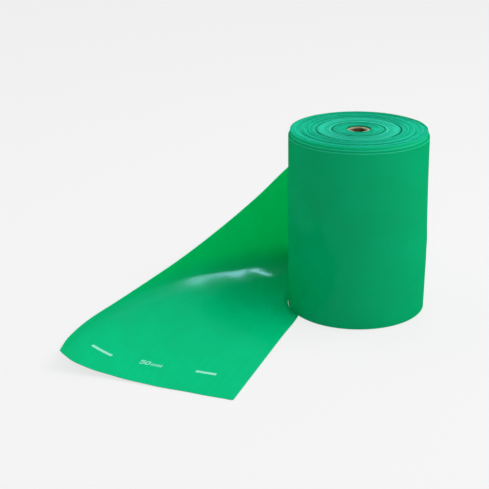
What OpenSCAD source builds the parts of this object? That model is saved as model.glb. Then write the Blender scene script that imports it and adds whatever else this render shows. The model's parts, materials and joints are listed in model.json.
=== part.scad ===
// Bulk roll of flat latex resistance band, standing on end, with its tail paid out.
// The roll's axis is Z, the floor is z = 0, and the free end lies towards -Y.

/* [Band] */
// Width of the band, which is also the height of the standing roll
band_w = 150; // [100:1:200]
// Thickness of the band
film_t = 0.4; // [0.3:0.05:0.8]

/* [Roll] */
// Outside diameter over the last turn
roll_d = 112; // [90:1:160]
// How far each of the last two turns has slipped down past the one inside it
turn_drop = 2; // [0.5:0.5:5]
// Radial clearance between the wound pack and the last turn
turn_gap = 0.3; // [0.3:0.05:0.6]
// Depth of the grooves where the winding was tightened
groove_depth = 1.2; // [0.5:0.1:3]

/* [Core] */
// Bore of the paperboard core, for a dispenser's spindle
core_bore_d = 13; // [8:0.5:25]
// Wall of the core
core_wall = 2.5; // [1.5:0.1:5]
// How far the core's top end sits below the pack's top face
core_inset = 1; // [0.5:0.5:4]

/* [Starter tape] */
// Thickness of the adhesive tape that holds the band's inner end
tape_t = 0.15; // [0.1:0.05:0.3]
// Width of the tape, measured round the core
tape_w = 24; // [12:1:30]

/* [Tail] */
// Length of the straight near edge, from the roll's foot to the cut end
tail_run = 153; // [100:1:260]
// Direction of the straight near edge, anticlockwise from +X
tail_heading = -104.5; // [-125:0.5:-90]

/* [Hidden] */
$fn = 180;

core_r = core_bore_d / 2;
core_outer_r = core_r + core_wall;
pack_inner_r = core_outer_r + 2 * tape_t;
roll_r = roll_d / 2;
outer_turn_inner_r = roll_r - film_t;
pack_r = outer_turn_inner_r - turn_gap;
// The pack's own last turn is a step lower than the rest
step_inner_r = pack_r - film_t;
foot_chamfer = 1.5;
// Share of the pack's build at which each tightening groove lies, and its width
groove_shares = [0.26, 0.54, 0.95];
groove_w = 1.1;
tape_margin = 6;

// Each station of the tail, from the roll to the cut end, has four facts:
// where its near edge stands, how far across and up from there its far edge is
// (in mm for a 150 mm band), and how upright the band is, from 1 to 0.
drape = band_w / 150;
lap_r = roll_r + film_t / 2;
foot_gap = 0.4;
foot_end_angle = 215;
function round_foot(angle, gap) = (lap_r + gap) * [cos(angle), sin(angle)];
function along_run(share) = round_foot(foot_end_angle, foot_gap)
    + share * tail_run * [cos(tail_heading), sin(tail_heading)];
turn_top = band_w - 2 * turn_drop;
full_rise = (turn_top - film_t) / drape;
// [near edge, [across x, across y, rise], upright]
STATIONS = [
    [round_foot(48, 0), [0, 0, full_rise], 1],
    [round_foot(72, 0), [0, 0, full_rise], 1],
    [round_foot(102, foot_gap), [-4, 16, 127], 0.8],
    [round_foot(130, foot_gap), [-18, 42, 97], 0.4],
    [round_foot(158, foot_gap), [-36, 45, 68], 0.1],
    [round_foot(184, foot_gap), [-63, 47, 46], 0],
    [round_foot(203, foot_gap), [-96, 37, 30], 0],
    [along_run(0), [-126, 16, 21], 0],
    [along_run(0.28), [-136, 24, 16], 0],
    [along_run(0.54), [-142, 31, 14], 0],
    [along_run(0.78), [-141, 35, 14], 0],
    [along_run(1), [-133, 39, 16], 0]
];
steps_between = 5;
steps_across = 22;
rows = steps_between * (len(STATIONS) - 1);
row_len = steps_across + 1;

module pack_profile() {
    groove_half = groove_w / 2;
    pack_build = step_inner_r - pack_inner_r;
    step_top = band_w - turn_drop;
    difference() {
        polygon([
            [pack_inner_r, 0],
            [pack_r - foot_chamfer, 0],
            [pack_r, foot_chamfer],
            [pack_r, step_top],
            [step_inner_r, step_top],
            [step_inner_r, band_w],
            [pack_inner_r, band_w]
        ]);
        for (share = groove_shares) {
            translate([pack_inner_r + share * pack_build, band_w])
                polygon([[-groove_half, 1], [groove_half, 1], [groove_half, 0], [0, -groove_depth], [-groove_half, 0]]);
        }
    }
}

module core_tube() {
    color("tan")
        difference() {
            cylinder(r = core_outer_r, h = band_w - core_inset);
            translate([0, 0, -1])
                cylinder(r = core_r, h = band_w + 2);
        }
}

module starter_tape() {
    tape_angle = tape_w / core_outer_r * 180 / PI;
    color("beige")
        translate([0, 0, tape_margin])
            rotate_extrude(angle = tape_angle)
                translate([core_outer_r, 0])
                    square([tape_t, band_w - 2 * tape_margin]);
}

module wound_band() {
    color([0.08, 0.65, 0.45])
        rotate_extrude()
            pack_profile();
}

module outer_turn() {
    color([0.05, 0.58, 0.38])
        rotate_extrude()
            translate([outer_turn_inner_r, 0])
                square([film_t, turn_top]);
}

// Smooth curve through b and c, with a and d as the points before and after them
function curve_through(a, b, c, d, t) = 0.5 * (2 * b + (c - a) * t
    + (2 * a - 5 * b + 4 * c - d) * t * t + (3 * b - a - 3 * c + d) * t * t * t);

// The four control points of the band's cross curve at a station
function cross_controls(station) =
    let (
        near = [station[0].x, station[0].y, 0],
        reach = drape * [station[1].x, station[1].y, 0],
        rise = drape * station[1].z,
        upright = station[2]
    )
    [
        near,
        near + 0.5 * reach + [0, 0, upright * rise / 3],
        near + 0.9 * reach + [0, 0, upright * rise * 2 / 3],
        near + reach + [0, 0, rise]
    ];

CONTROLS = [for (station = STATIONS) cross_controls(station)];
last = len(CONTROLS) - 1;
function control(i) = i < 0 ? 2 * CONTROLS[0] - CONTROLS[1]
    : i > last ? 2 * CONTROLS[last] - CONTROLS[last - 1]
    : CONTROLS[i];

function controls_at(s) =
    let (i = min(floor(s), last - 1), t = s - i)
    curve_through(control(i - 1), control(i), control(i + 1), control(i + 2), t);

function cross_curve(c, t) = pow(1 - t, 3) * c[0] + 3 * pow(1 - t, 2) * t * c[1]
    + 3 * (1 - t) * t * t * c[2] + pow(t, 3) * c[3];

// The band lies on the roll and never inside it
function outside_roll(p) =
    let (r = norm([p.x, p.y]))
    r < lap_r ? [p.x * lap_r / r, p.y * lap_r / r, p.z] : p;

MIDDLE = [for (i = [0 : rows])
    let (c = controls_at(i / steps_between))
    [for (j = [0 : steps_across]) outside_roll(cross_curve(c, j / steps_across)) + [0, 0, film_t / 2]]];

function unit(v) = v / norm(v);
function face_normal(i, j) = unit(cross(
    MIDDLE[min(i + 1, rows)][j] - MIDDLE[max(i - 1, 0)][j],
    MIDDLE[i][min(j + 1, steps_across)] - MIDDLE[i][max(j - 1, 0)]));

// One face of the band, half a thickness to the side of its middle
function face_points(side) = [for (i = [0 : rows]) for (j = [0 : steps_across])
    MIDDLE[i][j] + side * film_t / 2 * face_normal(i, j)];

function two_triangles(a, b, c, d) = [[a, b, c], [a, c, d]];
function flatten(lists) = [for (list = lists) for (item = list) item];

module free_tail() {
    points = concat(face_points(1), face_points(-1));
    back = (rows + 1) * row_len;
    front_faces = flatten([for (i = [0 : rows - 1]) for (j = [0 : steps_across - 1])
        let (a = i * row_len + j)
        two_triangles(a, a + 1, a + row_len + 1, a + row_len)]);
    back_faces = flatten([for (i = [0 : rows - 1]) for (j = [0 : steps_across - 1])
        let (a = back + i * row_len + j)
        two_triangles(a, a + row_len, a + row_len + 1, a + 1)]);
    long_edges = flatten([for (i = [0 : rows - 1])
        let (near = i * row_len, far = near + steps_across)
        concat(
            two_triangles(near, near + row_len, back + near + row_len, back + near),
            two_triangles(far, back + far, back + far + row_len, far + row_len))]);
    end_edges = flatten([for (j = [0 : steps_across - 1])
        let (end = rows * row_len + j)
        concat(
            two_triangles(j, back + j, back + j + 1, j + 1),
            two_triangles(end, end + 1, back + end + 1, back + end))]);
    color([0.0, 0.7, 0.45])
        polyhedron(points = points, faces = concat(front_faces, back_faces, long_edges, end_edges));
}

core_tube();
starter_tape();
wound_band();
outer_turn();
free_tail();
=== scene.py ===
"""A standing roll of flat latex resistance band, with its tail laid out on the floor.

The roll's axis is Z, it stands at z = 0, and the free end lies towards -Y. All sizes are in metres.
"""

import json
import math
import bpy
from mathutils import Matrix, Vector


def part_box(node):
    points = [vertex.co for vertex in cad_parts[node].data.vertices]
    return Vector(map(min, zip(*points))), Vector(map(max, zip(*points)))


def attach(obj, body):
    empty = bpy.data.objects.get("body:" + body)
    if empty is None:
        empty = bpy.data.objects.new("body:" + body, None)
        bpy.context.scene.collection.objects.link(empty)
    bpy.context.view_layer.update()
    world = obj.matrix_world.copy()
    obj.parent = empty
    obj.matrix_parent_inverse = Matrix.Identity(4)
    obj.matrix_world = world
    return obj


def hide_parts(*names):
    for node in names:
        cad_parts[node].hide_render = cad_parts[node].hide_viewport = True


bl_info = {
    "name": "Resistance Band Roll",
    "version": (1, 0, 0),
    "blender": (4, 5, 0),
    "location": "3D View > Sidebar > Band Roll",
    "description": "Builds a bulk roll of flat resistance band and the tail laid out from it",
    "category": "Add Mesh",
}

import bpy
import numpy as np
from bpy.props import FloatProperty, FloatVectorProperty, IntProperty, PointerProperty
from bpy.types import Operator, Panel, PropertyGroup
from mathutils import Matrix, Vector

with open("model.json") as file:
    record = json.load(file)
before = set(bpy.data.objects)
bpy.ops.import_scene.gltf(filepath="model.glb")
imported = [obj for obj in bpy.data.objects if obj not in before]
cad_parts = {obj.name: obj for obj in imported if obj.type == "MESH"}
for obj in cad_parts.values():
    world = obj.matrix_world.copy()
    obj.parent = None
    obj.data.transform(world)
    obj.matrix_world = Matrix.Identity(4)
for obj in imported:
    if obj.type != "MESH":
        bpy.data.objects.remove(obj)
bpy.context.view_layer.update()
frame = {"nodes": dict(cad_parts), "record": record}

MM = 0.001
FILM = 0.4 * MM
# Where the last turn starts and the tail begins, in degrees anticlockwise from +X
LAP_START = 48
TAPE_CLEARANCE = 0.15 * MM

# Sizes that the frame gives
BAND_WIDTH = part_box("wound_band")[1].z
PACK_INNER_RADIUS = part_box("starter_tape")[1].x + TAPE_CLEARANCE
PACK_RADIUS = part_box("wound_band")[1].x
ROLL_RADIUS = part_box("outer_turn")[1].x
OUTER_TURN_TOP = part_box("outer_turn")[1].z
CORE_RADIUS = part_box("core_tube")[1].x
CORE_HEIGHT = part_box("core_tube")[1].z
MOUNTS = {mount["name"]: mount for mount in frame["record"]["mounts"]}
BORE_RADIUS = MOUNTS["core_bore"]["dims"]["r_mm"] * MM


# ---------------------------------------------------------------- node maths


class Value:
    """A node's output, so that node maths reads as plain expressions."""

    def __init__(self, nodes, node, output=0):
        self.nodes = nodes
        self.node = node
        self.socket = node.outputs[output] if node.outputs else None

    def out(self, output):
        return Value(self.nodes, self.node, output)

    def maths(self, operation, *terms):
        return self.nodes.add("ShaderNodeMath", {"operation": operation}, dict(enumerate(terms)))

    def __add__(self, other):
        return self.maths("ADD", self, other)

    __radd__ = __add__

    def __mul__(self, other):
        return self.maths("MULTIPLY", self, other)

    __rmul__ = __mul__

    def __sub__(self, other):
        return self.maths("SUBTRACT", self, other)

    def __rsub__(self, other):
        return self.maths("SUBTRACT", other, self)

    def __truediv__(self, other):
        return self.maths("DIVIDE", self, other)

    def __rtruediv__(self, other):
        return self.maths("DIVIDE", other, self)

    def __gt__(self, other):
        return self.maths("GREATER_THAN", self, other)

    def __pow__(self, other):
        return self.maths("POWER", self, other)

    def at_least(self, other):
        return self.maths("MAXIMUM", self, other)

    def hump(self, centre, half_width):
        """1 at the centre, falling smoothly to a quarter at half_width from it."""
        away = (self - centre) / half_width
        return 1 / ((1 + away * away) * (1 + away * away))

    def rise(self, start, end):
        """0 up to start, 1 from end, and smooth between them."""
        settings = {"interpolation_type": "SMOOTHSTEP"}
        sockets = {"Value": self, "From Min": start, "From Max": end}
        return self.nodes.add("ShaderNodeMapRange", settings, sockets)


class Nodes:
    """Makes the nodes of one tree."""

    def __init__(self, tree):
        self.tree = tree

    def add(self, kind, settings=None, sockets=None, output=0):
        """One node: its settings are set first, then its sockets, by name or number.

        The setting "captured" names the number that a capture node carries.
        """
        node = self.tree.nodes.new(kind)
        for name, setting in (settings or {}).items():
            if name == "captured":
                node.capture_items.new("FLOAT", setting)
            else:
                setattr(node, name, setting)
        for key, value in (sockets or {}).items():
            if isinstance(value, Value):
                self.tree.links.new(value.socket, node.inputs[key])
            else:
                node.inputs[key].default_value = value
        return Value(self, node, output)

    def noise(self, where, scale, detail, roughness):
        sockets = {"Vector": where, "Scale": scale, "Detail": detail, "Roughness": roughness}
        return self.add("ShaderNodeTexNoise", {"noise_dimensions": "3D"}, sockets)

    def noise_along(self, distance, detail, roughness):
        """Noise that changes along one number only."""
        sockets = {"W": distance, "Scale": 1.0, "Detail": detail, "Roughness": roughness}
        return self.add("ShaderNodeTexNoise", {"noise_dimensions": "1D"}, sockets)

    def mix(self, factor, first, second):
        """A colour between two, by the factor."""
        settings = {"data_type": "RGBA"}
        return self.add("ShaderNodeMix", settings, {0: factor, 6: first, 7: second}, output=2)

    def scaled(self, where, scale):
        return self.add("ShaderNodeMapping", {}, {"Vector": where, "Scale": scale})

    def parts(self, where):
        return self.add("ShaderNodeSeparateXYZ", {}, {"Vector": where})

    def off_axis(self, where):
        """How far a place is from the roll's axis."""
        parts = self.parts(where)
        across, along = parts, parts.out("Y")
        return (across * across + along * along) ** 0.5

    def bump(self, height, depth, strength):
        sockets = {"Strength": strength, "Distance": depth, "Height": height}
        return self.add("ShaderNodeBump", {}, sockets)


def colour(rgb):
    return (*rgb, 1.0)


# ---------------------------------------------------------------- sizes and colours


class BandSettings(PropertyGroup):
    width: FloatProperty(
        name="Width", description="Width of the band", default=BAND_WIDTH, unit="LENGTH"
    )
    film: FloatProperty(
        name="Film thickness", description="Thickness of the latex", default=FILM, unit="LENGTH"
    )
    latex: FloatVectorProperty(
        name="Latex", description="Colour of the latex", subtype="COLOR", default=(0.0, 0.66, 0.27)
    )
    deep: FloatVectorProperty(
        name="Deep latex",
        description="Colour of the latex where it is thickest",
        subtype="COLOR",
        default=(0.0, 0.60, 0.225),
    )
    powder: FloatVectorProperty(
        name="Powder",
        description="Colour of the latex where its powder shows",
        subtype="COLOR",
        default=(0.05, 0.80, 0.54),
    )
    glow: FloatVectorProperty(
        name="Glow",
        description="Colour of the light that passes through the latex",
        subtype="COLOR",
        default=(0.0, 0.92, 0.40),
    )
    roughness: FloatProperty(
        name="Roughness", description="Roughness of the smooth face", default=0.1, min=0.0, max=1.0
    )
    gloss: FloatProperty(
        name="Gloss", description="Share of light mirrored by the face", default=0.015, min=0.0, max=1.0
    )
    gloss_tint: FloatVectorProperty(
        name="Gloss tint",
        description="Colour of the mirrored light",
        subtype="COLOR",
        default=(0.32, 0.60, 0.85),
    )
    see_through: FloatProperty(
        name="See-through",
        description="Share of the light that passes through one layer",
        default=0.6,
        min=0.0,
        max=1.0,
    )


class PackSettings(PropertyGroup):
    turns: IntProperty(name="Turns", description="Turns of band in the pack", default=115, min=10)
    points: IntProperty(
        name="Points a turn", description="Points round each turn", default=90, min=24
    )
    layer_gap: FloatProperty(
        name="Layer gap", description="Air between two turns", default=0.04 * MM, unit="LENGTH"
    )
    end_angle: FloatProperty(
        name="End angle",
        description="Where the pack's last turn ends, under the tail's lap",
        default=math.radians(LAP_START),
        subtype="ANGLE",
    )
    step: FloatProperty(
        name="Step", description="How much lower the last turn sits", default=2 * MM, unit="LENGTH"
    )
    groove_depth: FloatProperty(
        name="Groove depth",
        description="Depth of the grooves where the winding was tightened",
        default=1.2 * MM,
        unit="LENGTH",
    )
    drift: FloatProperty(
        name="Drift",
        description="How far the edges wander from turn to turn",
        default=0.55 * MM,
        unit="LENGTH",
    )


class TailSettings(PropertyGroup):
    rows_in_turn: IntProperty(
        name="Rows in the turn", description="Rows round the last turn", default=120, min=24
    )
    rows_in_span: IntProperty(
        name="Rows in a span", description="Rows between two stations", default=20, min=4
    )
    columns: IntProperty(
        name="Columns", description="Columns across the band", default=72, min=12
    )
    slack: FloatProperty(
        name="Slack", description="Bulge of the last turn's loose side", default=1.0 * MM, unit="LENGTH"
    )
    cut_waver: FloatProperty(
        name="Cut waver", description="How far the hand cut wavers", default=0.5 * MM, unit="LENGTH"
    )
    corner: FloatProperty(
        name="Corner", description="Radius of the rounded near corner", default=1.5 * MM, unit="LENGTH"
    )


class CoreSettings(PropertyGroup):
    plies: IntProperty(name="Plies", description="Plies of paperboard", default=5, min=1)
    crush: FloatProperty(
        name="Crush", description="How far the rim is pinched", default=0.55 * MM, unit="LENGTH"
    )
    board: FloatVectorProperty(
        name="Board",
        description="Colour of the board's cut end",
        subtype="COLOR",
        default=(0.62, 0.60, 0.38),
    )
    # The inner ply's red-brown, darkened with painted shade for the shadow inside the bore
    shaded_liner: FloatVectorProperty(
        name="Liner",
        description="Colour of the inner ply",
        subtype="COLOR",
        default=(0.14, 0.045, 0.03),
    )
    tape: FloatVectorProperty(
        name="Tape",
        description="Colour of the starter tape",
        subtype="COLOR",
        default=(0.66, 0.60, 0.44),
    )


class MarkSettings(PropertyGroup):
    ink: FloatVectorProperty(
        name="Ink",
        description="Colour of the printed marks",
        subtype="COLOR",
        default=(0.34, 0.95, 0.76),
    )
    thickness: FloatProperty(
        name="Ink thickness", description="Height of the ink", default=0.03 * MM, unit="LENGTH"
    )
    dash_width: FloatProperty(
        name="Dash width", description="Width of a dash", default=3.1 * MM, unit="LENGTH"
    )
    stroke_width: FloatProperty(
        name="Stroke width", description="Width of a numeral's stroke", default=1.0 * MM, unit="LENGTH"
    )


class StageSettings(PropertyGroup):
    floor_size: FloatProperty(
        name="Floor size", description="Side of the floor", default=30.0, unit="LENGTH"
    )
    surround: FloatProperty(
        name="Surround", description="Brightness of the white surround", default=1.0, min=0.0
    )
    key_power: FloatProperty(
        name="Key power", description="Power of the softbox", default=8.5, min=0.0
    )
    strip_power: FloatProperty(
        name="Strip power", description="Power of the strip light", default=30.0, min=0.0
    )


def settings(name):
    """The scene's settings for one kind of piece."""
    return getattr(bpy.context.scene, "band_roll_" + name)


SETTINGS = {
    "band": BandSettings,
    "pack": PackSettings,
    "tail": TailSettings,
    "core": CoreSettings,
    "marks": MarkSettings,
    "stage": StageSettings,
}


# ---------------------------------------------------------------- materials


def new_material(name):
    material = bpy.data.materials.new(name)
    material.use_nodes = True
    material.node_tree.nodes.clear()
    return material, Nodes(material.node_tree)


def finish_material(nodes, surface):
    nodes.add("ShaderNodeOutputMaterial", {}, {"Surface": surface})


def object_place(nodes):
    return nodes.add("ShaderNodeTexCoord", {}, {}, "Object")


def latex_surface(nodes, base, roughness, normal, through):
    """Latex with a thin even gloss, which lets some light through."""
    band = settings("band")
    sockets = {
        "Base Color": base,
        "Roughness": roughness,
        "Specular IOR Level": 0.0,
        "Normal": normal,
    }
    solid = nodes.add("ShaderNodeBsdfPrincipled", {}, sockets)
    glow = nodes.add("ShaderNodeBsdfTranslucent", {}, {"Color": colour(band.glow)})
    body = nodes.add("ShaderNodeMixShader", {}, {0: through, 1: solid, 2: glow})
    sockets = {"Color": colour(band.gloss_tint), "Roughness": roughness, "Normal": normal}
    gloss = nodes.add("ShaderNodeBsdfAnisotropic", {}, sockets)
    return nodes.add("ShaderNodeMixShader", {}, {0: band.gloss, 1: body, 2: gloss})


# Share of the light on the last turn that passes through it and is lost in the roll
LOST_IN_ROLL = 0.3


def tail_latex():
    """Latex seen on its face: calender streaks along the band, faint powder and a fine grain."""
    band = settings("band")
    material, nodes = new_material("latex_face")
    sheet = nodes.add("ShaderNodeUVMap", {"uv_map": "sheet"})
    clouds = nodes.noise(sheet, scale=26.0, detail=4.0, roughness=0.55)
    along_band = nodes.scaled(sheet, (14.0, 420.0, 1.0))
    streaks = nodes.noise(along_band, scale=1.0, detail=3.0, roughness=0.6)
    specks = nodes.noise(sheet, scale=900.0, detail=2.0, roughness=0.7)
    thick = (clouds * 0.7 + streaks * 0.3).rise(0.35, 0.7)
    base = nodes.mix(thick, colour(band.latex), colour(band.deep))
    dust = clouds.rise(0.55, 0.8) * 0.10 + specks.rise(0.62, 0.75) * 0.08
    from_near_edge = nodes.parts(sheet).out("Y")
    far_lip = from_near_edge.rise(band.width - 1.1 * MM, band.width - 0.5 * MM)
    near_lip = 1 - from_near_edge.rise(0.3 * MM, 0.8 * MM)
    dusted = nodes.mix(dust + far_lip * 0.75 + near_lip * 0.3, base, colour(band.powder))
    roughness = band.roughness + clouds * 0.05 + streaks * 0.03
    grain = streaks * 0.4 + specks * 0.25 + clouds * 0.6
    bump = nodes.bump(grain, depth=0.02 * MM, strength=0.2)
    place = object_place(nodes)
    off_roll = nodes.off_axis(place).rise(ROLL_RADIUS + 2 * MM, ROLL_RADIUS + 5 * MM)
    lifted = nodes.parts(place).out("Z").rise(3 * MM, 28 * MM)
    through = LOST_IN_ROLL + off_roll * (band.see_through * lifted - LOST_IN_ROLL)
    finish_material(nodes, latex_surface(nodes, dusted, roughness, bump, through))
    return material


def wound_latex():
    """Latex seen on its cut edges: rings that change from turn to turn, with powder between them, and
    painted shade on the sides of the inner turns.
    """
    band = settings("band")
    pack = settings("pack")
    material, nodes = new_material("latex_wound")
    place = object_place(nodes)
    radius = nodes.off_axis(place)
    height = nodes.parts(place).out("Z")
    turn = radius / band.film
    fine_rings = nodes.noise_along(turn * 0.55, detail=2.0, roughness=0.7)
    broad_rings = nodes.noise_along(turn * 0.11 + 7.3, detail=2.0, roughness=0.5)
    patches = nodes.noise(place, scale=55.0, detail=3.0, roughness=0.55)
    specks = nodes.noise(place, scale=1100.0, detail=2.0, roughness=0.6)
    rings = fine_rings * 0.5 + broad_rings * 0.35 + patches * 0.15
    matt_zone = radius.rise(17 * MM, 21 * MM) - radius.rise(33 * MM, 37 * MM)
    edge = nodes.add("ShaderNodeAttribute", {"attribute_name": CUT_EDGE}, {}, "Fac")
    pale_ring = colour((0.012, 0.74, 0.42))
    deep_ring = colour((0.0, 0.32, 0.16))
    cut = nodes.mix(rings.rise(0.33, 0.62), deep_ring, pale_ring)
    powder = matt_zone * 0.45 + rings.rise(0.45, 0.65) * 0.18 + specks.rise(0.6, 0.72) * 0.12
    dusted = nodes.mix(powder, cut, colour(band.powder))
    smooth = nodes.mix(patches, colour(band.latex), colour(band.deep))
    # Painted shade: the sides of the turns more than a few millimetres in from the outside, which show
    # only in the gaps between turns, get a dark green
    buried_shade_mask = 1 - radius.rise(PACK_RADIUS - 3 * MM, PACK_RADIUS - 2 * MM)
    painted_gap_shade = colour((0.0, 0.28, 0.13))
    smooth = nodes.mix(buried_shade_mask, smooth, painted_gap_shade)
    step_top = band.width - pack.step
    outermost = radius.rise(PACK_RADIUS - 1.5 * band.film, PACK_RADIUS - 0.8 * band.film)
    lip = outermost * height.rise(step_top - 1.2 * MM, step_top - 0.6 * MM)
    smooth = nodes.mix(lip * 0.8, smooth, colour(band.powder))
    base = nodes.mix(edge, smooth, dusted)
    roughness = 0.42 + rings * 0.2
    bump = nodes.bump(fine_rings + specks * 0.3, depth=0.12 * MM, strength=0.5)
    finish_material(nodes, latex_surface(nodes, base, roughness, bump, 0.0))
    return material


def paperboard():
    """Grey-cream board on the cut end, and inside the bore a red-brown liner darkened with painted shade.
    """
    core = settings("core")
    material, nodes = new_material("paperboard")
    place = object_place(nodes)
    radius = nodes.off_axis(place)
    height = nodes.parts(place).out("Z")
    along_core = nodes.scaled(place, (900.0, 900.0, 260.0))
    fibres = nodes.noise(along_core, scale=1.0, detail=4.0, roughness=0.65)
    plies = nodes.noise_along(radius / (0.25 * MM), detail=1.0, roughness=0.5)
    stains = nodes.noise(place, scale=240.0, detail=3.0, roughness=0.6)
    dark_fibre = colour((0.44, 0.42, 0.25))
    glue_line = colour((0.36, 0.30, 0.17))
    faded_liner = colour((0.26, 0.13, 0.07))
    board = nodes.mix(fibres.rise(0.3, 0.7), colour(core.board), dark_fibre)
    board = nodes.mix(plies.rise(0.45, 0.7) * 0.5, board, glue_line)
    # The bore's red-browns are partly the inner ply's own colour and partly painted shade, as dark as the
    # shadow inside the bore
    shaded_liner = nodes.mix(stains.rise(0.4, 0.65), colour(core.shaded_liner), faded_liner)
    below_rim = 1 - height.rise(CORE_HEIGHT - 1.3 * MM, CORE_HEIGHT - 0.8 * MM)
    inside = 1 - radius.rise(CORE_RADIUS - 1.2 * MM, CORE_RADIUS - 0.9 * MM)
    base = nodes.mix(inside * below_rim, board, shaded_liner)
    roughness = 0.82 + fibres * 0.12
    bump = nodes.bump(fibres + plies * 0.6, depth=0.1 * MM, strength=0.6)
    sockets = {"Base Color": base, "Roughness": roughness, "Normal": bump, "Specular IOR Level": 0.2}
    finish_material(nodes, nodes.add("ShaderNodeBsdfPrincipled", {}, sockets))
    return material


def crepe_tape():
    """Cream paper tape, crinkled across its length."""
    core = settings("core")
    material, nodes = new_material("crepe_tape")
    place = object_place(nodes)
    along_core = nodes.scaled(place, (1500.0, 1500.0, 120.0))
    crinkle = nodes.noise(along_core, scale=1.0, detail=3.0, roughness=0.7)
    ageing = nodes.noise(place, scale=90.0, detail=3.0, roughness=0.5)
    worn = colour((0.52, 0.44, 0.28))
    base = nodes.mix(ageing.rise(0.35, 0.7), colour(core.tape), worn)
    bump = nodes.bump(crinkle, depth=0.06 * MM, strength=0.7)
    sockets = {"Base Color": base, "Roughness": 0.7 + crinkle * 0.2, "Normal": bump}
    finish_material(nodes, nodes.add("ShaderNodeBsdfPrincipled", {}, sockets))
    return material


def mint_ink():
    """Screen-printed ink, a little worn where the latex has stretched."""
    marks = settings("marks")
    material, nodes = new_material("mint_ink")
    place = object_place(nodes)
    grain = nodes.noise(place, scale=1600.0, detail=3.0, roughness=0.7)
    wear = nodes.noise(place, scale=260.0, detail=3.0, roughness=0.6)
    worn = colour((0.10, 0.70, 0.44))
    base = nodes.mix((wear * 0.6 + grain * 0.4).rise(0.52, 0.72) * 0.25, colour(marks.ink), worn)
    bump = nodes.bump(grain, depth=0.02 * MM, strength=0.3)
    sockets = {
        "Base Color": base,
        "Roughness": 0.5 + grain * 0.2,
        "Normal": bump,
        "Specular IOR Level": 0.2,
    }
    finish_material(nodes, nodes.add("ShaderNodeBsdfPrincipled", {}, sockets))
    return material


# Brightness of the surround and of the floor's glow where the camera looks straight at them
PAPER_WHITE = 0.896
PAPER_GLOW = 0.985
# Share of the floor's look that is glow, and so takes no shadow
GLOW_SHARE = 0.75


def studio_paper():
    """The floor: white paper that takes a pale shadow, and glows softly for the camera only."""
    material, nodes = new_material("studio_paper")
    place = object_place(nodes)
    tooth = nodes.noise(place, scale=700.0, detail=2.0, roughness=0.5)
    white = nodes.mix(tooth, colour((0.79, 0.79, 0.79)), colour((0.81, 0.81, 0.81)))
    paper = nodes.add("ShaderNodeBsdfDiffuse", {}, {"Color": white})
    glow = nodes.add("ShaderNodeEmission", {}, {"Color": colour((1.0, 1.0, 1.0)), "Strength": PAPER_GLOW})
    seen = nodes.add("ShaderNodeLightPath", {}, {}, "Is Camera Ray")
    surface = nodes.add("ShaderNodeMixShader", {}, {0: seen * GLOW_SHARE, 1: paper, 2: glow})
    finish_material(nodes, surface)
    return material


# Shares of the surround's light: from everywhere, from above, from behind on the left, from the right
EVEN_SHARE = 0.22
ABOVE_SHARE = 0.1
BEHIND_SHARE = 0.6
RIGHT_SHARE = 0.26


def white_surround():
    """A world that lights by direction, and that the camera sees as even white."""
    stage = settings("stage")
    world = bpy.data.worlds.new("surround")
    world.use_nodes = True
    world.node_tree.nodes.clear()
    nodes = Nodes(world.node_tree)
    direction = nodes.parts(nodes.add("ShaderNodeTexCoord"))
    right, back, up = direction, direction.out("Y"), direction.out("Z")
    behind = 0.8 * back - 0.6 * right
    sides = BEHIND_SHARE * behind.rise(-0.1, 0.8) + RIGHT_SHARE * right.rise(-0.4, 0.6)
    sky = stage.surround * (EVEN_SHARE + ABOVE_SHARE * up.rise(0.1, 0.9) + sides)
    seen = nodes.add("ShaderNodeLightPath", {}, {}, "Is Camera Ray")
    strength = seen * PAPER_WHITE + (1 - seen) * sky
    sockets = {"Color": colour((1.0, 1.0, 1.0)), "Strength": strength}
    background = nodes.add("ShaderNodeBackground", {}, sockets)
    nodes.add("ShaderNodeOutputWorld", {}, {"Surface": background})
    return world


# ---------------------------------------------------------------- shapes


def new_piece(name, mesh):
    """Puts a finished mesh in the scene, at the origin."""
    piece = bpy.data.objects.new(name, mesh)
    bpy.context.scene.collection.objects.link(piece)
    return piece


def shade(mesh, sharp_above=35):
    """Smooth faces with crisp edges."""
    mesh.polygons.foreach_set("use_smooth", [True] * len(mesh.polygons))
    mesh.set_sharp_from_angle(angle=math.radians(sharp_above))
    mesh.update()


def made_plain(piece):
    """The piece's evaluated mesh in place of its modifiers."""
    depsgraph = bpy.context.evaluated_depsgraph_get()
    mesh = bpy.data.meshes.new_from_object(
        piece.evaluated_get(depsgraph), preserve_all_data_layers=True, depsgraph=depsgraph
    )
    piece.modifiers.clear()
    piece.data = mesh
    mesh.name = piece.name
    return piece


def places(mesh):
    """A mesh's vertices as an array."""
    flat = np.empty(len(mesh.vertices) * 3, np.float32)
    mesh.vertices.foreach_get("co", flat)
    return flat.reshape(-1, 3).astype(float)


def put(mesh, points):
    """Moves a mesh's vertices to the points."""
    mesh.vertices.foreach_set("co", points.astype(np.float32).ravel())
    mesh.update()


CUT_EDGE = "cut_edge"
STRIP_INPUTS = (
    ("Width", "NodeSocketFloat", BAND_WIDTH),
    ("Film Thickness", "NodeSocketFloat", FILM),
    ("Layer Gap", "NodeSocketFloat", 0.0),
    ("Inner Radius", "NodeSocketFloat", 0.01),
    ("Outer Radius", "NodeSocketFloat", 0.05),
    ("Turns", "NodeSocketInt", 100),
    ("Points a Turn", "NodeSocketInt", 90),
    ("End Angle", "NodeSocketFloat", 0.0),
    ("Drift", "NodeSocketFloat", 0.0),
    ("Step", "NodeSocketFloat", 0.0),
    ("Groove Depth", "NodeSocketFloat", 0.0),
    ("Material", "NodeSocketMaterial", None),
)
# Radii of the grooves where the winding was tightened, and each one's half width and share of depth
GROOVES = ((21.0 * MM, 0.55 * MM, 1.0), (33.8 * MM, 0.6 * MM, 1.0), (45.0 * MM, 0.4 * MM, 0.35))
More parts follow.
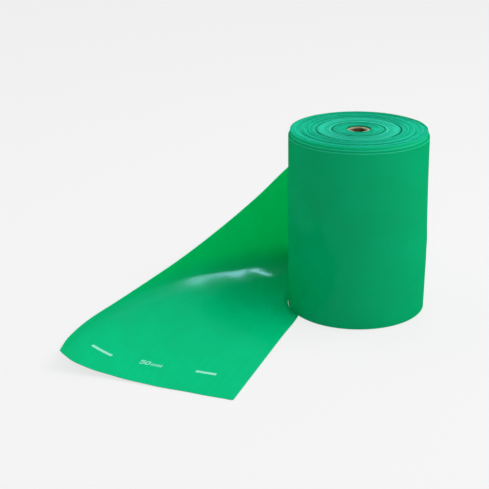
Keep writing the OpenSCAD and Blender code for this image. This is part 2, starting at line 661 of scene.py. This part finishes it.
# The loose stretch of the outer turns, open at the back right
OPEN_GROOVE = (53.3 * MM, 0.7 * MM, 1.9)
OPEN_GROOVE_ANGLE = math.radians(20)


def wound_strip_tree():
    """A strip wound into a flat spiral, whose top edge drifts from turn to turn."""
    tree = bpy.data.node_groups.new("Wound strip", "GeometryNodeTree")
    tree.interface.new_socket("Geometry", in_out="INPUT", socket_type="NodeSocketGeometry")
    for name, kind, default in STRIP_INPUTS:
        socket = tree.interface.new_socket(name, in_out="INPUT", socket_type=kind)
        if default is not None:
            socket.default_value = default
    tree.interface.new_socket("Geometry", in_out="OUTPUT", socket_type="NodeSocketGeometry")
    nodes = Nodes(tree)
    given = nodes.add("NodeGroupInput")
    width, film, turns = given.out("Width"), given.out("Film Thickness"), given.out("Turns")
    points, depth = given.out("Points a Turn"), given.out("Groove Depth")

    spiral = nodes.add(
        "GeometryNodeCurveSpiral",
        {},
        {
            "Resolution": points,
            "Rotations": turns,
            "Start Radius": given.out("Inner Radius") + film * 0.5,
            "End Radius": given.out("Outer Radius") - film * 0.5,
            "Height": 0.0,
            "Reverse": True,
        },
    )
    upright = nodes.add("GeometryNodeSetCurveNormal", {"mode": "Z_UP"}, {"Curve": spiral})
    turn_now = nodes.add("GeometryNodeSplineParameter", output="Index") / points
    marked = nodes.add(
        "GeometryNodeCaptureAttribute", {"captured": "Turn"}, {"Geometry": upright, "Turn": turn_now}
    )
    turn = marked.out("Turn")
    profile = nodes.add(
        "GeometryNodeCurvePrimitiveQuadrilateral",
        {"mode": "RECTANGLE"},
        {"Width": film - given.out("Layer Gap"), "Height": width},
    )
    strip = nodes.add(
        "GeometryNodeCurveToMesh",
        {},
        {"Curve": marked.out("Geometry"), "Profile Curve": profile, "Fill Caps": True},
    )

    place = nodes.add("GeometryNodeInputPosition")
    parts = nodes.parts(place)
    across, along, height = parts, parts.out("Y"), parts.out("Z")
    radius = nodes.off_axis(place)
    slow = nodes.noise_along(turn * 0.13 + 3.1, detail=1.0, roughness=0.5)
    quick = nodes.noise_along(turn * 0.85 + 11.0, detail=1.0, roughness=0.6)
    waver = nodes.noise(place, scale=38.0, detail=1.0, roughness=0.5)
    fall = given.out("Drift") * (0.5 + (slow - 0.5) * 1.4 + (quick - 0.5) * 0.9 + (waver - 0.5) * 0.5)
    for centre, half_width, share in GROOVES:
        fall = fall + depth * share * radius.hump(centre, half_width)
    facing = across * math.cos(OPEN_GROOVE_ANGLE) + along * math.sin(OPEN_GROOVE_ANGLE)
    open_side = (facing / radius).rise(0.3, 0.95)
    centre, half_width, share = OPEN_GROOVE
    fall = fall + depth * share * radius.hump(centre, half_width) * open_side
    fall = fall + given.out("Step") * turn.rise(turns - 1.05, turns - 0.98)
    fall = fall.at_least(0.0)
    lift = width * 0.5 - (height > 0.0) * fall
    offset = nodes.add("ShaderNodeCombineXYZ", {}, {"Z": lift})
    set_on_floor = nodes.add("GeometryNodeSetPosition", {}, {"Geometry": strip, "Offset": offset})
    heading = nodes.add("ShaderNodeCombineXYZ", {}, {"Z": given.out("End Angle")})
    turned = nodes.add("GeometryNodeTransform", {}, {"Geometry": set_on_floor, "Rotation": heading})
    facing_up = nodes.parts(nodes.add("GeometryNodeInputNormal")).out("Z")
    edges = nodes.add(
        "GeometryNodeStoreNamedAttribute",
        {"data_type": "FLOAT", "domain": "FACE"},
        {"Geometry": turned, "Name": CUT_EDGE, "Value": facing_up > 0.7},
    )
    realized = nodes.add("GeometryNodeRealizeInstances", {}, {"Geometry": edges})
    coated = nodes.add(
        "GeometryNodeSetMaterial", {}, {"Geometry": realized, "Material": given.out("Material")}
    )
    nodes.add("NodeGroupOutput", {}, {"Geometry": coated})
    return tree


def wound_strip(name, **sizes):
    """A piece made by the wound strip tree, with its inputs given by name."""
    tree = bpy.data.node_groups.get("Wound strip") or wound_strip_tree()
    piece = new_piece(name, bpy.data.meshes.new(name))
    modifier = piece.modifiers.new("Wound strip", "NODES")
    modifier.node_group = tree
    for key, value in sizes.items():
        socket = tree.interface.items_tree[key.replace("_", " ").title().replace(" A ", " a ")]
        modifier[socket.identifier] = value
    return made_plain(piece)


# ---------------------------------------------------------------- the tail's surface

# These repeat the design's values in metres, but the band's foot keeps closer to the roll here.
# Angles round the foot are in degrees.
HALF_FILM = FILM / 2
LAP_RADIUS = ROLL_RADIUS + HALF_FILM
FOOT_GAP = 0.05 * MM
FOOT_END_ANGLE = 215
TAIL_RUN = 153 * MM
TAIL_HEADING = math.radians(-104.5)
LAST_SPAN_START = 0.78
FULL_RISE = OUTER_TURN_TOP - FILM


def round_foot(angle, gap):
    """Place on the floor beside the roll, where the band's near edge passes."""
    reach = LAP_RADIUS + gap
    return reach * math.cos(math.radians(angle)), reach * math.sin(math.radians(angle))


def along_run(share):
    """Place on the tail's straight near edge, at a share of the way to the cut end."""
    x, y = round_foot(FOOT_END_ANGLE, FOOT_GAP)
    run = share * TAIL_RUN
    return x + run * math.cos(TAIL_HEADING), y + run * math.sin(TAIL_HEADING)


# (near edge, (across x, across y, rise) in metres, how upright the band is)
STATIONS = (
    (round_foot(LAP_START, 0), (0, 0, FULL_RISE), 1),
    (round_foot(72, 0), (0, 0, FULL_RISE), 1),
    (round_foot(102, FOOT_GAP), (-0.004, 0.016, 0.127), 0.8),
    (round_foot(130, FOOT_GAP), (-0.018, 0.042, 0.097), 0.4),
    (round_foot(158, FOOT_GAP), (-0.036, 0.045, 0.068), 0.1),
    (round_foot(184, FOOT_GAP), (-0.063, 0.047, 0.046), 0),
    (round_foot(203, FOOT_GAP), (-0.096, 0.037, 0.030), 0),
    (along_run(0), (-0.126, 0.016, 0.021), 0),
    (along_run(0.28), (-0.136, 0.024, 0.016), 0),
    (along_run(0.54), (-0.142, 0.031, 0.014), 0),
    (along_run(LAST_SPAN_START), (-0.141, 0.035, 0.014), 0),
    (along_run(1), (-0.133, 0.039, 0.016), 0),
)
LAST_STATION = len(STATIONS) - 1


def cross_controls(near_edge, reach, upright):
    """The four control points of the band's cross curve at a station."""
    near = np.array([*near_edge, 0.0])
    level = np.array([reach[0], reach[1], 0.0])
    up = np.array([0.0, 0.0, reach[2]])
    return np.array(
        [
            near,
            near + 0.5 * level + upright * up / 3,
            near + 0.9 * level + upright * up * 2 / 3,
            near + level + up,
        ]
    )


def station_controls():
    """Every station's controls, with one more before the first and after the last."""
    controls = [cross_controls(*station) for station in STATIONS]
    before = 2 * controls[0] - controls[1]
    after = 2 * controls[-1] - controls[-2]
    return np.array([before, *controls, after])


CONTROLS = station_controls()


def laid_surface(s, t):
    """Middle of the film at s stations from the lap and t of the way across."""
    i = np.clip(np.floor(s).astype(int), 0, LAST_STATION - 1)
    f = (s - i)[..., None, None]
    a, b, c, d = (CONTROLS[i + k] for k in range(4))
    controls = 0.5 * (
        2 * b + (c - a) * f + (2 * a - 5 * b + 4 * c - d) * f**2 + (3 * b - a - 3 * c + d) * f**3
    )
    t = t[..., None]
    p, q, r, v = (controls[..., k, :] for k in range(4))
    points = (1 - t) ** 3 * p + 3 * (1 - t) ** 2 * t * q + 3 * (1 - t) * t**2 * r + t**3 * v
    radius = np.hypot(points[..., 0], points[..., 1])
    out = np.maximum(1.0, LAP_RADIUS / radius)
    points[..., 0] *= out
    points[..., 1] *= out
    points[..., 2] += HALF_FILM
    return points


def bell(distance, half_width):
    """1 at no distance, fading smoothly to nothing at about twice half_width."""
    return np.exp(-((distance / half_width) ** 2))


# Where the last turn stands off the pack: heading and spread round the roll, height and spread up it
LOOSE_SIDE = (math.radians(-4), math.radians(24), 50 * MM, 40 * MM)
CREASE = (math.radians(-4), math.radians(24), 60 * MM, 6 * MM)
CREASE_SHARE = 0.25
SOFT_BULGE = (math.radians(-115), 0.5, 85 * MM, 30 * MM)
SOFT_BULGE_HEIGHT = 0.25 * MM
# The last turn's top lip leans in, and slips down unevenly round the roll
LIP_HEIGHT = 1.6 * MM
LIP_LEAN = 0.12 * MM
LIP_SLIP = 1.0 * MM


def bulge(angle, z, place):
    """Share of a bulge's full height at an angle round the roll and a height up it."""
    heading, spread, height, rise = place
    return bell(angle - heading, spread) * bell(z - height, rise)


def turn_surface(s, t):
    """Middle of the film round the last turn, where s goes from -1 to 0."""
    tail = settings("tail")
    angle = math.radians(LAP_START) + s * 2 * math.pi
    inner = PACK_RADIUS + FILM
    radius = inner + (LAP_RADIUS - inner) * (1 + s)
    z = HALF_FILM + t * FULL_RISE
    loose = bulge(angle, z, LOOSE_SIDE) + CREASE_SHARE * bulge(angle, z, CREASE)
    radius = radius + tail.slack * loose + SOFT_BULGE_HEIGHT * bulge(angle, z, SOFT_BULGE)
    into_lip = np.clip((z - OUTER_TURN_TOP + LIP_HEIGHT) / LIP_HEIGHT, 0, 1)
    radius = radius - LIP_LEAN * into_lip**2
    slip = 0.5 * bell(angle + math.radians(25), 0.7) + 0.25 * (1 + np.sin(2 * angle + 1.0)) * (-s) ** 0.5
    ends = np.clip((1 + s) * 12, 0, 1) * np.clip(-s * 12, 0, 1)
    z = z - LIP_SLIP * slip * t**6 * ends
    return np.stack([radius * np.cos(angle), radius * np.sin(angle), z], axis=-1)


def band_surface(s, t):
    """Middle of the film: s is -1 to 0 round the last turn, then counts the tail's stations."""
    s, t = np.broadcast_arrays(np.asarray(s, float), np.asarray(t, float))
    on_turn = turn_surface(np.clip(s, -1, 0), t)
    laid = laid_surface(np.clip(s, 0, LAST_STATION), t)
    return np.where((s < 0)[..., None], on_turn, laid)


def upper_side(s, t):
    """Unit normal of the side that faces up where the band lies on the floor."""
    step = 0.004
    s, t = np.clip(s, -1 + step, LAST_STATION - step), np.clip(t, step, 1 - step)
    along = band_surface(s + step, t) - band_surface(s - step, t)
    across = band_surface(s, t + step) - band_surface(s, t - step)
    normal = np.cross(across, along)
    return normal / np.linalg.norm(normal, axis=-1, keepdims=True)


# Waves of the hand cut: share of the waver, length and phase
CUT_WAVES = ((0.6, 11 * MM, 0.0), (0.4, 4.3 * MM, 1.0))


def cut_share(t):
    """How far short of the last station the hand cut falls, in spans, at each place across."""
    tail = settings("tail")
    across = t * BAND_WIDTH
    waves = sum(share * np.sin(across / length + phase) for share, length, phase in CUT_WAVES)
    waver = tail.cut_waver * (1 + waves)
    into_corner = np.clip(1 - across / tail.corner, 0, 1)
    rounding = tail.corner * (1 - np.sqrt(1 - into_corner**2))
    last_span = (1 - LAST_SPAN_START) * TAIL_RUN
    return (waver + rounding) / last_span


# How strongly the columns crowd towards the two long edges, from 0 for evenly spaced
EDGE_CROWDING = 0.86


def band_grid():
    """Stations and shares across for every row and column of the tail's strip."""
    tail = settings("tail")
    turn_rows = np.linspace(-1, 0, tail.rows_in_turn + 1)[:-1]
    laid_rows = np.linspace(0, LAST_STATION, tail.rows_in_span * LAST_STATION + 1)
    rows = np.concatenate([turn_rows, laid_rows])
    even = np.linspace(0, 1, tail.columns + 1)
    columns = even - EDGE_CROWDING * np.sin(2 * math.pi * even) / (2 * math.pi)
    s, t = np.meshgrid(rows, columns, indexing="ij")
    into_last = np.clip(s - LAST_STATION + 1, 0, 1)
    return s - into_last * cut_share(t), t


def grid_faces(rows, columns):
    """Four-sided faces that join a grid of vertices."""
    a = (np.arange(rows - 1)[:, None] * columns + np.arange(columns - 1)[None, :]).ravel()
    return np.stack([a, a + 1, a + columns + 1, a + columns], axis=1)


def lengths_along(points, axis):
    """Length from the first point to each point, along one axis of a grid."""
    steps = np.linalg.norm(np.diff(points, axis=axis), axis=-1)
    start = np.zeros_like(np.take(steps, [0], axis=axis))
    return np.concatenate([start, np.cumsum(steps, axis=axis)], axis=axis)


def middle_length():
    """Length of the strip's middle line."""
    points = band_surface(np.linspace(-1, LAST_STATION, 1200), 0.5)
    return float(lengths_along(points, 0)[-1])


def cloth_mesh(name, points, along, across):
    """A mesh from a grid of points, with a UV map in metres of sheet."""
    rows, columns = points.shape[:2]
    faces = grid_faces(rows, columns)
    mesh = bpy.data.meshes.new(name)
    mesh.from_pydata(points.reshape(-1, 3).tolist(), [], faces.tolist())
    layer = mesh.uv_layers.new(name="sheet")
    uv = np.stack([along.ravel(), across.ravel()], axis=1)[faces.ravel()]
    layer.data.foreach_set("uv", uv.astype(np.float32).ravel())
    mesh.update()
    return mesh


# Sheet places are (distance from the cut end, distance across from the near edge), in millimetres.
DASHES = (((32.7, 25.9), (32.4, 42.3)), ((28.9, 111.7), (34.5, 131.0)))
NUMERAL_BOX = (5.2, 3.1)
NUMERAL_PITCH = 4.4
NUMERAL_LEAN = 1.2
NUMERAL_LINE = 30.7
NUMERALS_START = 88.2
TICKS = (78.2, 76.3, 74.4, 72.5, 70.6)
# Length of one facet of an ink bar, and how deep a bar's underside is sunk in the film
INK_FACET = 0.5 * MM
INK_SINK = 0.05 * MM


def numeral_five():
    """A plain five, as strokes in a box one unit high (first number) and wide (second)."""
    turns = np.linspace(2.9, -0.9, 12)
    bowl = [(0.64 + 0.36 * math.cos(a), 0.45 + 0.55 * math.sin(a)) for a in turns]
    return ([(0.0, 1.0), (0.0, 0.0), (0.42, 0.0)], [(0.42, 0.0), *bowl])


def numeral_zero():
    """A plain zero, in the same box."""
    turns = np.linspace(0, 2 * math.pi, 25)
    return ([(0.5 - 0.5 * math.cos(a), 0.5 + 0.5 * math.sin(a)) for a in turns],)


def to_surface(u, v):
    """Station and share across of a sheet place, near the cut end."""
    shares = np.linspace(0, 1, 201)
    across = lengths_along(band_surface(LAST_STATION - 1.0, shares), 0)
    t = np.interp(v, across * BAND_WIDTH / across[-1], shares)
    spans = np.linspace(LAST_STATION, LAST_STATION - 2, 121)
    rails = band_surface(spans[:, None], t[None, :])
    back = lengths_along(rails, 0)
    s = np.array([np.interp(u[k], back[:, k], spans) for k in range(len(u))])
    return s, t


def ink_stroke(path, width):
    """Vertices and faces of a flat closed bar of ink along a path of sheet places in millimetres."""
    marks = settings("marks")
    path = np.array(path, float) * MM
    cumulative = lengths_along(path, 0)
    count = max(2, int(cumulative[-1] / INK_FACET) + 1)
    stops = np.union1d(np.linspace(0, cumulative[-1], count), cumulative)
    middle = np.stack([np.interp(stops, cumulative, path[:, k]) for k in range(2)], axis=1)
    tangent = np.gradient(middle, axis=0)
    tangent /= np.maximum(np.linalg.norm(tangent, axis=1, keepdims=True), 1e-12)
    side = np.stack([-tangent[:, 1], tangent[:, 0]], axis=1) * width / 2
    rings = []
    for offset in (-1, 1):
        edge = middle + offset * side
        s, t = to_surface(edge[:, 0], edge[:, 1])
        surface, up = band_surface(s, t), upper_side(s, t)
        underside = surface + up * (HALF_FILM - INK_SINK)
        rings.append((underside, surface + up * (HALF_FILM + marks.thickness)))
    (left_low, left_high), (right_low, right_high) = rings
    loop = np.stack([left_low, right_low, right_high, left_high], axis=1)
    n = len(loop)
    faces = [(0, 1, 2, 3)]
    for i in range(n - 1):
        for k in range(4):
            a, b = 4 * i + k, 4 * i + (k + 1) % 4
            faces.append((a, a + 4, b + 4, b))
    faces.append(tuple(4 * (n - 1) + k for k in (3, 2, 1, 0)))
    return loop.reshape(-1, 3), faces


def mark_paths():
    """Every stroke of the length marks, as a path of sheet places and a width."""
    marks = settings("marks")
    paths = [(dash, marks.dash_width) for dash in DASHES]
    tall, wide = NUMERAL_BOX
    for place, strokes in enumerate((numeral_five(), numeral_zero())):
        left = NUMERALS_START - place * NUMERAL_PITCH
        for stroke in strokes:
            path = [
                (NUMERAL_LINE + tall * (0.5 - h), left - wide * w - NUMERAL_LEAN * (1 - h))
                for h, w in stroke
            ]
            paths.append((path, marks.stroke_width))
    for v in TICKS:
        foot, head = NUMERAL_LINE - tall / 2, NUMERAL_LINE + 0.15 * tall
        paths.append((((foot, v), (head, v - 0.6 * NUMERAL_LEAN)), marks.stroke_width))
    return paths


# ---------------------------------------------------------------- operators


CAMERA_SPOT = (0.0, -0.918, 0.4021)
CAMERA_YAW = math.radians(5.76)
CAMERA_PITCH = math.radians(69.06)
CAMERA_TILT = math.radians(-0.85)
LENS = 87.36
SENSOR_WIDTH = 36.0


class BANDROLL_OT_camera(Operator):
    """Add the camera, looking down on the roll from the free end"""

    bl_idname = "band_roll.camera"
    bl_label = "Camera"

    def execute(self, context):
        data = bpy.data.cameras.new("camera")
        data.sensor_width = SENSOR_WIDTH
        data.lens = LENS
        camera = bpy.data.objects.new("camera", data)
        context.scene.collection.objects.link(camera)
        yaw = Matrix.Rotation(CAMERA_YAW, 4, "Z")
        pitch = Matrix.Rotation(CAMERA_PITCH, 4, "X")
        tilt = Matrix.Rotation(CAMERA_TILT, 4, "Z")
        camera.matrix_world = Matrix.Translation(CAMERA_SPOT) @ yaw @ pitch @ tilt
        context.scene.camera = camera
        return {"FINISHED"}


class BANDROLL_OT_wound_pack(Operator):
    """Wind the pack of band round the core"""

    bl_idname = "band_roll.wound_pack"
    bl_label = "Wound pack"

    def execute(self, context):
        band, pack = settings("band"), settings("pack")
        piece = wound_strip(
            "wound_pack",
            width=band.width,
            film_thickness=band.film,
            layer_gap=pack.layer_gap,
            inner_radius=PACK_INNER_RADIUS,
            outer_radius=PACK_RADIUS,
            turns=pack.turns,
            points_a_turn=pack.points,
            end_angle=pack.end_angle,
            drift=pack.drift,
            step=pack.step,
            groove_depth=pack.groove_depth,
            material=wound_latex(),
        )
        shade(piece.data)
        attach(piece, "roll")
        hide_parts("wound_band")
        return {"FINISHED"}


class BANDROLL_OT_tail(Operator):
    """Lay out the last turn and the free tail as one strip"""

    bl_idname = "band_roll.tail"
    bl_label = "Last turn and tail"

    def execute(self, context):
        band = settings("band")
        s, t = band_grid()
        points = band_surface(s, t)
        along = lengths_along(points, 0)
        across = t * band.width
        mesh = cloth_mesh("band_tail", points, along, across)
        mesh.materials.append(tail_latex())
        piece = new_piece("band_tail", mesh)
        film = piece.modifiers.new("Film", "SOLIDIFY")
        film.thickness = band.film
        film.offset = 0.0
        made_plain(piece)
        shade(piece.data, sharp_above=50)
        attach(piece, "tail")
        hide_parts("outer_turn", "free_tail")
        middle_length()
        return {"FINISHED"}


# The rim is pinched out of round this many times, down to about this depth,
# and its outer face by only this share of what the bore's face moves
PINCHES = 4
PINCH_DEPTH = 7 * MM
OUTER_SHARE = 0.15


class BANDROLL_OT_core(Operator):
    """Wind the paperboard core, and pinch its rim"""

    bl_idname = "band_roll.core"
    bl_label = "Core"

    def execute(self, context):
        core = settings("core")
        ply = (CORE_RADIUS - BORE_RADIUS) / core.plies
        piece = wound_strip(
            "core",
            width=CORE_HEIGHT,
            film_thickness=ply,
            layer_gap=0.08 * MM,
            inner_radius=BORE_RADIUS,
            outer_radius=CORE_RADIUS,
            turns=core.plies,
            points_a_turn=72,
            end_angle=math.radians(200),
            drift=0.35 * MM,
            step=0.0,
            groove_depth=0.0,
            material=paperboard(),
        )
        points = places(piece.data)
        radius = np.hypot(points[:, 0], points[:, 1])
        angle = np.arctan2(points[:, 1], points[:, 0])
        near_rim = bell(np.clip(CORE_HEIGHT - points[:, 2], 0, None), PINCH_DEPTH)
        through_wall = (radius - BORE_RADIUS) / (CORE_RADIUS - BORE_RADIUS)
        inward = 1 - (1 - OUTER_SHARE) * through_wall
        pinch = core.crush * np.cos(PINCHES * angle) * near_rim * inward
        points[:, :2] *= ((radius + pinch) / radius)[:, None]
        put(piece.data, points)
        shade(piece.data)
        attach(piece, "roll")
        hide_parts("core_tube")
        return {"FINISHED"}


class BANDROLL_OT_starter_tape(Operator):
    """Finish the tape that holds the band's inner end to the core"""

    bl_idname = "band_roll.starter_tape"
    bl_label = "Starter tape"

    def execute(self, context):
        tape = frame["nodes"]["starter_tape"]
        tape.data.materials.clear()
        tape.data.materials.append(crepe_tape())
        return {"FINISHED"}


class BANDROLL_OT_length_marks(Operator):
    """Print the length marks near the cut end"""

    bl_idname = "band_roll.length_marks"
    bl_label = "Length marks"

    def execute(self, context):
        vertices, faces = [], []
        for path, width in mark_paths():
            points, bar_faces = ink_stroke(path, width)
            first = len(vertices)
            vertices.extend(points.tolist())
            faces.extend(tuple(first + k for k in face) for face in bar_faces)
        mesh = bpy.data.meshes.new("length_marks")
        mesh.from_pydata(vertices, [], faces)
        mesh.materials.append(mint_ink())
        mesh.update()
        piece = new_piece("length_marks", mesh)
        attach(piece, "tail")
        return {"FINISHED"}


# Each light's spot, the direction of its long side, its length and its width
SOFTBOX = ((0.72, -0.12, 1.2), (0, 1, 0), 1.1, 0.8)
STRIP = ((0.594, 0.172, 1.257), (0.6, -0.777, -0.177), 1.9, 0.11)
# The floor lies just under the roll, so that their faces never share a plane
FLOOR_LEVEL = -0.2 * MM


def area_light(name, spot, along, length, width, power):
    """A rectangular light at a spot, facing the roll's foot, with its long side along a direction."""
    data = bpy.data.lights.new(name, "AREA")
    data.shape = "RECTANGLE"
    data.size = length
    data.size_y = width
    data.energy = power
    light = bpy.data.objects.new(name, data)
    bpy.context.scene.collection.objects.link(light)
    back = Vector(spot).normalized()
    side = Vector(along)
    side = (side - side.dot(back) * back).normalized()
    turn = Matrix((side, back.cross(side), back)).transposed().to_4x4()
    light.matrix_world = Matrix.Translation(spot) @ turn
    return light


class BANDROLL_OT_stage(Operator):
    """Lay the pale floor and set up the two lights and the white surround"""

    bl_idname = "band_roll.stage"
    bl_label = "Stage"

    def execute(self, context):
        stage = settings("stage")
        half = stage.floor_size / 2
        corners = [(x * half, y * half, FLOOR_LEVEL) for x, y in ((-1, -1), (1, -1), (1, 1), (-1, 1))]
        mesh = bpy.data.meshes.new("floor")
        mesh.from_pydata(corners, [], [(0, 1, 2, 3)])
        mesh.materials.append(studio_paper())
        new_piece("floor", mesh)

        context.scene.world = white_surround()
        softbox = area_light("softbox", *SOFTBOX, stage.key_power)
        softbox.visible_glossy = False
        strip = area_light("strip", *STRIP, stage.strip_power)
        strip.visible_diffuse = False
        strip.visible_transmission = False
        context.scene.view_settings.view_transform = "Standard"
        return {"FINISHED"}


STEPS = (
    BANDROLL_OT_camera,
    BANDROLL_OT_wound_pack,
    BANDROLL_OT_tail,
    BANDROLL_OT_core,
    BANDROLL_OT_starter_tape,
    BANDROLL_OT_length_marks,
    BANDROLL_OT_stage,
)


class BANDROLL_PT_steps(Panel):
    """Lists the steps that build the roll"""

    bl_idname = "BANDROLL_PT_steps"
    bl_label = "Band Roll"
    bl_space_type = "VIEW_3D"
    bl_region_type = "UI"
    bl_category = "Band Roll"

    def draw(self, context):
        for step in STEPS:
            self.layout.operator(step.bl_idname)


def register():
    for name, group in SETTINGS.items():
        bpy.utils.register_class(group)
        setattr(bpy.types.Scene, "band_roll_" + name, PointerProperty(type=group))
    for step in STEPS:
        bpy.utils.register_class(step)
    bpy.utils.register_class(BANDROLL_PT_steps)


def unregister():
    bpy.utils.unregister_class(BANDROLL_PT_steps)
    for step in reversed(STEPS):
        bpy.utils.unregister_class(step)
    for name, group in SETTINGS.items():
        delattr(bpy.types.Scene, "band_roll_" + name)
        bpy.utils.unregister_class(group)


def main():
    register()
    bpy.ops.band_roll.camera()
    bpy.ops.band_roll.wound_pack()
    bpy.ops.band_roll.tail()
    bpy.ops.band_roll.core()
    bpy.ops.band_roll.starter_tape()
    bpy.ops.band_roll.length_marks()
    bpy.ops.band_roll.stage()


if __name__ == "__main__":
    main()
